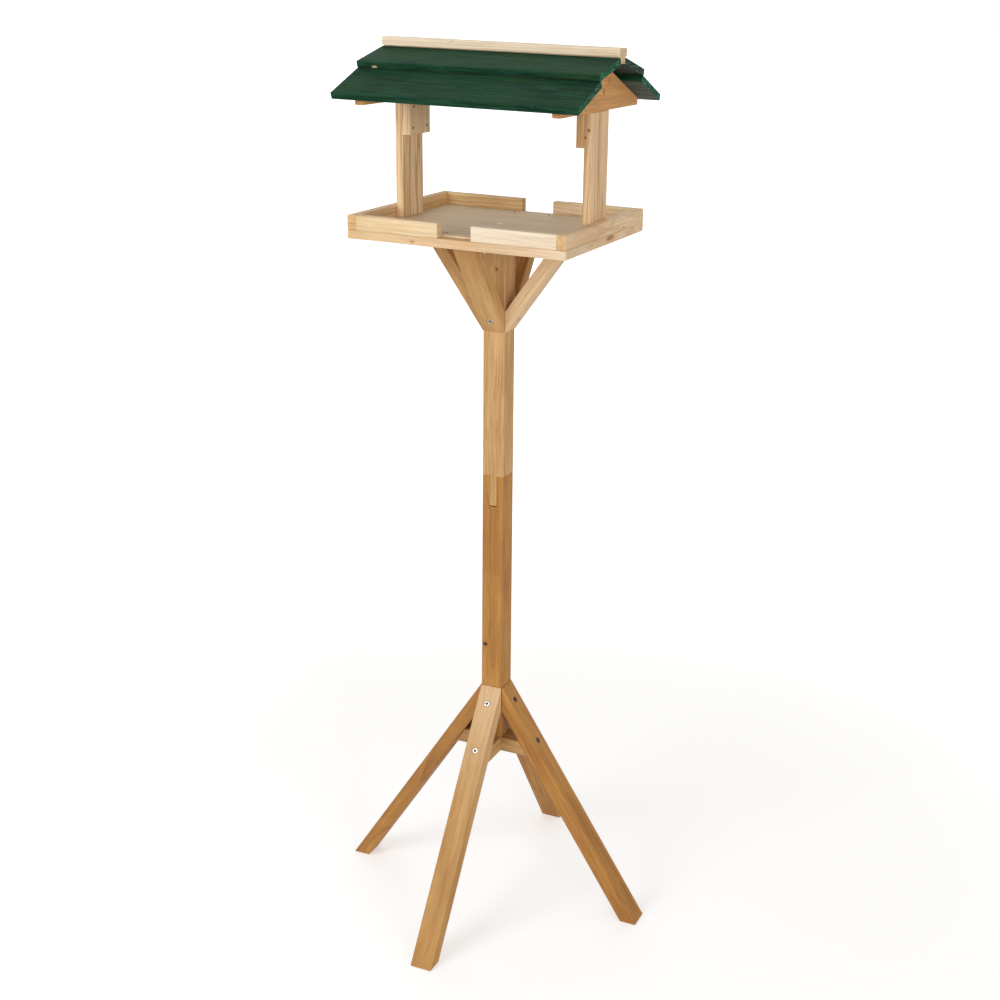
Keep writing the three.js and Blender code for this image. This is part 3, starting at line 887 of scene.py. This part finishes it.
def coat(web, colour, roughness, height, strength, distance, specular=0.5, metallic=0.0):
    """A principled shader, with a bump from the height."""
    bump = {"Strength": strength, "Distance": distance, "Height": height}
    inputs = {
        "Base Color": colour,
        "Roughness": roughness,
        "Specular IOR Level": specular,
        "Metallic": metallic,
        "Normal": web.add("ShaderNodeBump", bump).outputs[0],
    }
    end_with(web, "ShaderNodeOutputMaterial", web.add("ShaderNodeBsdfPrincipled", inputs))


def wood_figure(web, ring_width):
    group = web.add("ShaderNodeGroup", node_tree=softwood_group())
    group.inputs["Ring width"].default_value = ring_width
    return group.outputs


def pine(web, early, late, patch, pale, ring_width):
    """Sawn pine: blotches, stripes, late wood, fine streaks and dashes along the grain, darker
    sawn ends, with painted shade on the ends of pale timbers, knots and rubbed arrises. A tone
    above 0 goes to the pale board, and one below 0 to a deeper colour, while plainness fades the
    late wood, the stripes and the ends' tint."""
    figure = wood_figure(web, ring_width)
    end = web.ramp(web.attribute("end_grain"), 0.55, 0.95)
    arris = web.attribute("arris")
    tone = web.attribute("tone")
    figured = web.maths("SUBTRACT", 1.0, web.attribute("plainness"))

    colour = web.blend(web.ramp(figure["Blotch"], 0.35, 0.68), early, patch)
    colour = web.blend(web.line(tone, 0.0, 1.0, 0.0, 0.9), colour, pale)
    worn = web.tint(colour, WORN)
    stripes = web.times(web.ramp(figure["Stripe"], 0.52, 0.66, 0.0, 0.55), figured)
    colour = web.blend(stripes, colour, patch)
    late_share = web.times(figure["Latewood"], web.ramp(figure["Blotch"], 0.3, 0.7, 0.6, 1.0))
    late_share = web.times(late_share, web.line(tone, 0.0, 1.0, 1.0, 0.6))
    colour = web.blend(web.times(late_share, figured), colour, late)
    colour = web.blend(web.line(tone, 0.0, -1.0), colour, web.tint(colour, DEEPER))

    streak = web.line(figure["Fibre"], 0.39, 0.61, 0.86, 1.12)
    shade = web.times(streak, web.ramp(figure["Stripe"], 0.3, 0.5, 1.06, 1.0))
    shade = web.times(shade, web.ramp(figure["Dashes"], 0, 1, 1.0, 0.82))
    colour = web.tint(colour, web.join(shade, shade, shade))
    # Sawn ends: darker end grain, and on pale timbers painted shade as well
    sawn = web.blend(web.line(tone, 0.0, 1.0), END_OF_DEEP, END_OF_PALE_WITH_SHADE)
    sawn_share = web.times(end, web.line(figured, 0.0, 0.7))
    colour = web.blend(sawn_share, colour, web.tint(colour, sawn))

    rim = tuple(share * part for share, part in zip(KNOT_RIM, early))
    colour = web.blend(web.times(figure["Knot rim"], 0.7), colour, rim)
    colour = web.blend(web.ramp(figure["Knot"], 0.0, 0.75), colour, KNOT_BROWN)
    colour = web.blend(web.ramp(figure["Knot"], 0.6, 0.85), colour, KNOT_BLACK)
    colour = web.blend(web.times(arris, 0.35), colour, worn)
    rough = web.ramp(figure["Latewood"], 0, 1, 0.68, 0.5)
    coat(web, colour, rough, figure["Height"], 0.35, 0.25 * MM, specular=0.4)


def green_stain(web):
    """Opaque green stain on sawn boards: strokes, clouds and lines along the grain, a greyer coat
    underneath that is a thinner stain made paler as painted bounce light, brighter patches and
    bare flecks on the sawn ends, a few scratches, a chip and rubbed arrises. A tone of -1 gives a
    dark end, and the tone scales the underside from darker, as painted shade, to paler, as painted
    light."""
    figure = wood_figure(web, STAIN_RING_WIDTH)
    end = web.ramp(web.attribute("end_grain"), 0.55, 0.95)
    grain = web.attribute("grain", "Vector")
    tone = web.attribute("tone")
    patterns = {
        "strokes": web.noise(web.stretch(grain, 1 / 45, 0.3), detail=4.0, roughness=0.65),
        "clouds": web.noise(web.stretch(grain, 1 / 70, 1 / 26), detail=3.0, roughness=0.6),
        "lines": web.noise(web.stretch(grain, 1 / 70, 1.0), detail=2.0, roughness=0.6),
    }
    colour = web.blend(figure["Latewood"], STAIN, STAIN_ON_LATEWOOD)
    for pattern, start, full, share, layer in STAIN_LAYERS:
        colour = web.blend(web.ramp(patterns[pattern], start, full, 0.0, share), colour, layer)

    # Underneath: thin stain with painted bounce light, scaled by the tone as painted shade at low
    # tones and painted light at high tones
    below = web.blend(web.ramp(patterns["strokes"], 0.4, 0.6), *UNDERSIDE_STAIN_AND_BOUNCE)
    depth = web.line(tone, -1.0, 1.0, 0.6, 1.6)
    below = web.tint(below, web.join(depth, depth, depth))
    colour = web.blend(web.ramp(web.attribute("underside"), 0.5, 0.85, 0.0, 0.8), colour, below)

    patches = web.noise(web.scaled(grain, (0.1, 0.08, 0.25)), detail=2.0)
    ringed = web.maths("SUBTRACT", patches, web.times(figure["Latewood"], 0.15))
    sawn = web.blend(web.ramp(ringed, 0.36, 0.54), *STAINED_END)
    sawn = web.blend(web.ramp(tone, -0.5, -1.0), sawn, DARK_STAINED_END)
    colour = web.blend(end, colour, sawn)
    flecks = web.noise(web.scaled(grain, (0.3, 0.13, 1.1)), detail=2.0)
    bare = web.times(web.ramp(flecks, 0.57, 0.66), end)
    colour = web.blend(web.times(bare, 0.7), colour, BARE_FLECK)

    scratches = web.noise(web.stretch(grain, 1 / 14, 0.7), detail=1.0)
    colour = web.blend(web.times(web.ramp(scratches, 0.73, 0.80), 0.45), colour, SCRATCHED)
    colour = web.blend(figure["Knot"], colour, CHIPPED)
    colour = web.blend(web.times(web.attribute("arris"), 0.3), colour, STAIN_ON_ARRIS)
    rough = web.ramp(patterns["strokes"], 0.3, 0.7, 0.55, 0.72)
    coat(web, colour, rough, figure["Height"], 0.5, 0.3 * MM, specular=0.05)


def plywood(web):
    figure = wood_figure(web, PLY_RING_WIDTH)
    colour = web.blend(figure["Latewood"], PLY, PLY_LATEWOOD)
    colour = web.blend(web.ramp(figure["Fibre"], 0.42, 0.6), colour, PLY_FIBRE)
    colour = web.blend(web.times(figure["Dashes"], 0.4), colour, PLY_DASH)
    coat(web, colour, 0.7, figure["Height"], 0.3, 0.2 * MM)


def steel(web, colour, roughness):
    """Spotted steel, darkened by painted shade and dark reflection on some screws, and by painted
    shade in a screw's recess.
    """
    place = web.add("ShaderNodeTexCoord").outputs["Object"]
    spots = web.noise(place, 900.0, 3.0)
    dull = tuple(0.6 * part for part in colour)
    face = web.blend(web.ramp(spots, 0.4, 0.65), colour, dull)
    # Painted shade and dark reflection on the listed screws, then painted shade in the cross
    # recess
    face = web.blend(web.attribute("tarnish"), face, PAINTED_SHADE_ON_STEEL)
    face = web.blend(web.attribute("recess"), face, PAINTED_RECESS_SHADE)
    rough = web.ramp(spots, 0.3, 0.7, roughness - 0.08, roughness + 0.12)
    coat(web, face, rough, web.noise(place, 2600.0, 2.0), 0.2, 0.05 * MM, metallic=1.0)


def finish(name):
    """The material for a slot of the record, made on first use. It is called after its slot, in
    words, because the CAD's own have the slots' names."""
    title = name.replace("_", " ").capitalize()
    if title not in bpy.data.materials:
        web = new_material(title)
        if name in PINES:
            pine(web, *PINES[name])
        elif name in STEELS:
            steel(web, *STEELS[name])
        else:
            {"green_stain": green_stain, "plywood": plywood}[name](web)
    return bpy.data.materials[title]


def screw_surface(length):
    """A countersunk screw about Z, its head's rim at height 0, with a cross recess. The head is
    a polar grid whose height falls by the recess depth where |x| or |y| is within the slot's
    half width, which narrows outwards, and the rest is a turned profile."""
    shares = np.concatenate([np.linspace(0.04, 0.7, 18), np.linspace(0.74, 1.0, 7)])
    rings = (shares * SCREW_HEAD)[:, None]
    angle = np.arange(SCREW_SIDES) / SCREW_SIDES * 2 * pi
    x = rings * np.cos(angle)
    y = rings * np.sin(angle)
    reach = np.maximum(np.abs(x), np.abs(y))
    width = np.minimum(np.abs(x), np.abs(y))
    half = RECESS_HALF * (1.25 - 0.45 * reach / RECESS_REACH)
    inside = np.clip((half - width) / (0.12 * MM), 0, 1)
    inside = inside * np.clip((RECESS_REACH - reach) / (0.35 * MM), 0, 1)
    falling = 1 - 0.45 * np.clip(reach / RECESS_REACH, 0, 1)
    dome = HEAD_DOME * (1 - (rings / SCREW_HEAD) ** 2)
    rim_fall = 0.1 * MM * np.clip((rings / SCREW_HEAD - 0.93) / 0.07, 0, 1) ** 2
    z = -HEAD_DOME + dome - rim_fall - RECESS_DEPTH * inside * falling
    head = np.stack([x, y, z], axis=-1)[::-1]
    profile = [
        (POINT, -length),
        (SCREW_SHANK, -length + SCREW_TIP),
        (SCREW_SHANK, -SCREW_CONE),
        (SCREW_HEAD, -SCREW_RIM),
    ]
    low, _ = turned_profile(profile, SCREW_SIDES)
    points = np.concatenate([low, head.reshape(-1, 3)])
    # Marks the points inside the cross recess, where the steel is darkened as painted shade
    recess = np.concatenate([np.zeros(len(low)), inside[::-1].reshape(-1)])
    return points, closed_grid(len(profile) + len(rings), SCREW_SIDES), recess


def nail_surface(length):
    """A wire nail about Z with a dished head."""
    profile = [
        (POINT, -length),
        (NAIL_SHANK, -length + NAIL_TIP),
        (NAIL_SHANK, -NAIL_RIM),
        (NAIL_HEAD - 0.1 * MM, -NAIL_RIM + 0.1 * MM),
        (NAIL_HEAD, -0.4 * MM),
        (NAIL_HEAD, -0.15 * MM),
        (NAIL_HEAD - 0.15 * MM, 0.0),
        (0.6 * NAIL_HEAD, -0.05 * MM),
        (0.25 * NAIL_HEAD, -0.16 * MM),
    ]
    points, faces = turned_profile(profile, NAIL_SIDES)
    return points, faces, np.zeros(len(points))


def make_fastener(node):
    """One screw or nail, turned about its axis by a drawn angle."""
    head, axis, length = fastener_axis(node)
    rng = np.random.default_rng([ord(letter) for letter in node])
    spin = rng.uniform(0, pi)
    points, faces, recess = nail_surface(length) if is_nail(node) else screw_surface(length)
    piece = new_piece(f"{node}.steel", onto_axis(points, head, axis, spin), faces)
    # The recess mask and the screw's share of painted shade, which darken the steel
    put_attributes(piece.data, recess=recess, tarnish=SCREW_PAINTED_SHADE.get(node, 0.0))
    slot_name = "nail_steel" if is_nail(node) else "screw_steel"
    finish_piece(piece, node, slot_name, sharp=radians(35))


# The square key light's width and where it aims, then the directions and spreads of the others
KEY_WIDTH = 1.1
KEY_AIM = (0, 0, 0.85)
FILL_FROM = (0.74, -0.66, 0.10)
FILL_SPREAD = radians(26)
REAR_FROM = (-0.5, 0.8, 0.45)
REAR_SPREAD = radians(60)
AMBIENT_TINT = (1.0, 0.94, 0.86)
WHITE = (1.0, 1.0, 1.0)

# Half the floor's width, how far it lies below the feet, and its shade
FLOOR_HALF = 40.0
FLOOR_DROP = 0.2 * MM
FLOOR_SHADE = (0.80, 0.825, 0.86)

# The floor's own white grows from its least value near the object to full at a distance
GLOW_NEAR = 0.5
GLOW_FAR = 2.4


def hang(name, data, matrix):
    """Puts a lamp or a camera into the scene."""
    holder = bpy.data.objects.new(name, data)
    holder.matrix_world = matrix
    bpy.context.scene.collection.objects.link(holder)
    return holder


def add_lamp(kind, name, energy, direction, place=(0, 0, 0), **shape):
    """A soft lamp at a place, which shines from this direction."""
    lamp = bpy.data.lights.new(name, kind)
    lamp.energy = energy
    for field, value in shape.items():
        setattr(lamp, field, value)
    hang(name, lamp, Matrix.Translation(Vector(place)) @ facing(direction).to_4x4())


def seen_by_eye(web):
    """1 for rays from the camera, off gloss and through glass, else 0."""
    path = web.add("ShaderNodeLightPath").outputs
    seen = web.maths("MAXIMUM", path["Is Camera Ray"], path["Is Glossy Ray"])
    return web.maths("MAXIMUM", seen, path["Is Transmission Ray"])


def make_world(ambient):
    """White to the eye, and an even warm light on the object."""
    world = bpy.data.worlds.new("Studio")
    web = cleared_web(world)
    seen = seen_by_eye(web)
    colour = web.blend(seen, AMBIENT_TINT, WHITE)
    strength = web.line(seen, 0, 1, ambient, 1.0)
    sky = web.add("ShaderNodeBackground", {"Color": colour, "Strength": strength})
    end_with(web, "ShaderNodeOutputWorld", sky)
    bpy.context.scene.world = world


def make_floor(glow):
    """A flat matt sheet, whose own white only the eye sees, so that it keeps the shadow."""
    grid = np.linspace(-FLOOR_HALF, FLOOR_HALF, 3)
    x, y = np.meshgrid(grid, grid)
    points = np.stack([x, y, np.full_like(x, -FLOOR_DROP)], axis=-1).reshape(-1, 3)
    quads = [[at, at + 1, at + 4, at + 3] for at in (0, 1, 3, 4)]
    floor = new_piece("studio_floor", points, quads)
    web = new_material("studio_floor")
    place = web.scaled(web.add("ShaderNodeTexCoord").outputs["Object"], (1, 1, 0))
    rising = web.ramp(web.vector("LENGTH", place), GLOW_NEAR, GLOW_FAR, glow, 1.0)
    white = {"Color": WHITE, "Strength": web.times(seen_by_eye(web), rising)}
    light = web.add("ShaderNodeEmission", white).outputs[0]
    matt = web.add("ShaderNodeBsdfDiffuse", {"Color": FLOOR_SHADE}).outputs[0]
    both = web.add("ShaderNodeAddShader", (matt, light))
    end_with(web, "ShaderNodeOutputMaterial", both)
    floor.data.materials.append(bpy.data.materials["studio_floor"])


def make_camera(settings):
    camera = bpy.data.cameras.new("Camera")
    camera.sensor_width = 36.0
    camera.lens = settings.lens
    camera.shift_x = settings.shift
    camera.clip_end = 100.0
    turn = (
        Matrix.Rotation(settings.yaw, 4, "Z")
        @ Matrix.Rotation(pi / 2 - settings.pitch, 4, "X")
        @ Matrix.Rotation(settings.roll, 4, "Z")
    )
    holder = hang("Camera", camera, Matrix.Translation(Vector(settings.place)) @ turn)
    bpy.context.scene.camera = holder


class BirdTableTimber(PropertyGroup):
    arris: FloatProperty(
        name="Arris", description="Radius of the timbers' rounded edges",
        default=0.9 * MM, min=0.1 * MM, max=3 * MM, subtype="DISTANCE", unit="LENGTH",
    )
    step: FloatProperty(
        name="Step", description="Distance between the rings and points of a timber's surface",
        default=11 * MM, min=2 * MM, max=50 * MM, subtype="DISTANCE", unit="LENGTH",
    )
    wander: FloatProperty(
        name="Wander", description="How far a sawn edge wanders inwards from a straight line",
        default=0.25 * MM, min=0.0, max=1 * MM, subtype="DISTANCE", unit="LENGTH",
    )


class BirdTableStudio(PropertyGroup):
    lens: FloatProperty(
        name="Lens", description="Focal length of the camera",
        default=54.77, subtype="DISTANCE_CAMERA",
    )
    shift: FloatProperty(
        name="Shift", description="Sideways shift of the camera's frame", default=-0.1,
    )
    yaw: FloatProperty(
        name="Yaw", description="Turn of the camera about the upright",
        default=radians(21.648), subtype="ANGLE", unit="ROTATION",
    )
    pitch: FloatProperty(
        name="Pitch", description="How far the camera looks down",
        default=radians(19.236), subtype="ANGLE", unit="ROTATION",
    )
    roll: FloatProperty(
        name="Roll", description="Tilt of the camera's frame",
        default=radians(1.791), subtype="ANGLE", unit="ROTATION",
    )
    place: FloatVectorProperty(
        name="Place", description="Where the camera stands",
        default=(0.8281, -1.7189, 1.2561), size=3, subtype="TRANSLATION", unit="LENGTH",
    )
    ambient: FloatProperty(
        name="Ambient", description="Strength of the even light from all round",
        default=0.46, min=0.0,
    )
    key: FloatProperty(
        name="Key", description="Power of the soft light from the front left",
        default=16, min=0.0, unit="POWER",
    )
    key_place: FloatVectorProperty(
        name="Key's place", description="Where that light hangs",
        default=(-0.85, -1.8, 1.55), size=3, subtype="TRANSLATION", unit="LENGTH",
    )
    rear: FloatProperty(
        name="Rear", description="Strength of the soft light from behind", default=0.5, min=0.0,
    )
    fill: FloatProperty(
        name="Fill", description="Strength of the soft light from the right",
        default=1.2, min=0.0,
    )
    glow: FloatProperty(
        name="Floor glow", description="White that the floor adds to its own shade for the camera",
        default=0.45, min=0.0,
    )


def named(*starts):
    """The timbers whose names start with any of these, in order."""
    return tuple(node for node in TIMBERS if node.startswith(starts))


class TimberOperator:
    """Shared by the operators that make timbers: each names the nodes that it stands for."""

    nodes = ()

    def execute(self, context):
        for node in self.nodes:
            make_timber(node, context.scene.bird_table_timber)
        return {"FINISHED"}


class BIRDTABLE_OT_posts(TimberOperator, Operator):
    """Makes the two lengths of the post"""
    bl_idname = "bird_table.posts"
    bl_label = "Posts"
    nodes = named("lower_post", "upper_post")


class BIRDTABLE_OT_legs(TimberOperator, Operator):
    """Makes the four legs and the cross between them"""
    bl_idname = "bird_table.legs"
    bl_label = "Legs and foot cross"
    nodes = named("foot", "leg")


class BIRDTABLE_OT_braces(TimberOperator, Operator):
    """Makes the four braces under the tray"""
    bl_idname = "bird_table.braces"
    bl_label = "Braces"
    nodes = named("brace")


class BIRDTABLE_OT_tray(TimberOperator, Operator):
    """Makes the tray's rails, floor and walls"""
    bl_idname = "bird_table.tray"
    bl_label = "Tray"
    nodes = named("rail", "wall", "tray")


class BIRDTABLE_OT_roof_ends(TimberOperator, Operator):
    """Makes the roof posts, cleats and gables"""
    bl_idname = "bird_table.roof_ends"
    bl_label = "Roof posts and gables"
    nodes = named("roof_post", "cleat", "gable")


class BIRDTABLE_OT_roof(TimberOperator, Operator):
    """Makes the stained roof boards, the strip and the cap on the ridge"""
    bl_idname = "bird_table.roof"
    bl_label = "Roof"
    nodes = named("lower_board", "upper_board", "ridge")


class BIRDTABLE_OT_fasteners(Operator):
    """Makes every screw and nail"""
    bl_idname = "bird_table.fasteners"
    bl_label = "Screws and nails"

    def execute(self, context):
        for node in fasteners():
            make_fastener(node)
        return {"FINISHED"}


class BIRDTABLE_OT_stage(Operator):
    """Makes the floor, the lamps, the world and the camera"""
    bl_idname = "bird_table.stage"
    bl_label = "Studio"

    def execute(self, context):
        settings = context.scene.bird_table_studio
        make_world(settings.ambient)
        make_floor(settings.glow)
        place = Vector(settings.key_place)
        add_lamp("AREA", "Key", settings.key, place - Vector(KEY_AIM), place, size=KEY_WIDTH)
        add_lamp("SUN", "Fill", settings.fill, FILL_FROM, angle=FILL_SPREAD)
        add_lamp("SUN", "Rear", settings.rear, REAR_FROM, angle=REAR_SPREAD)
        make_camera(settings)
        context.scene.view_settings.view_transform = "Standard"
        return {"FINISHED"}


MAKERS = (
    BIRDTABLE_OT_stage, BIRDTABLE_OT_posts, BIRDTABLE_OT_legs, BIRDTABLE_OT_braces,
    BIRDTABLE_OT_tray, BIRDTABLE_OT_roof_ends, BIRDTABLE_OT_roof, BIRDTABLE_OT_fasteners,
)


class BIRDTABLE_PT_pieces(Panel):
    """Lists the bird table's makers and sizes in the sidebar"""
    bl_idname = "BIRDTABLE_PT_pieces"
    bl_label = "Bird Table"
    bl_space_type = "VIEW_3D"
    bl_region_type = "UI"
    bl_category = "Bird Table"

    def draw(self, context):
        for maker in MAKERS:
            self.layout.operator(maker.bl_idname)
        for settings in (context.scene.bird_table_timber, context.scene.bird_table_studio):
            for name in settings.__annotations__:
                self.layout.prop(settings, name)


CLASSES = (BirdTableTimber, BirdTableStudio, *MAKERS, BIRDTABLE_PT_pieces)


def register():
    for item in CLASSES:
        bpy.utils.register_class(item)
    bpy.types.Scene.bird_table_timber = PointerProperty(type=BirdTableTimber)
    bpy.types.Scene.bird_table_studio = PointerProperty(type=BirdTableStudio)


def unregister():
    del bpy.types.Scene.bird_table_studio
    del bpy.types.Scene.bird_table_timber
    for item in reversed(CLASSES):
        bpy.utils.unregister_class(item)


def main():
    register()
    bpy.ops.bird_table.stage()
    bpy.ops.bird_table.posts()
    bpy.ops.bird_table.legs()
    bpy.ops.bird_table.braces()
    bpy.ops.bird_table.tray()
    bpy.ops.bird_table.roof_ends()
    bpy.ops.bird_table.roof()
    bpy.ops.bird_table.fasteners()


if __name__ == "__main__":
    main()
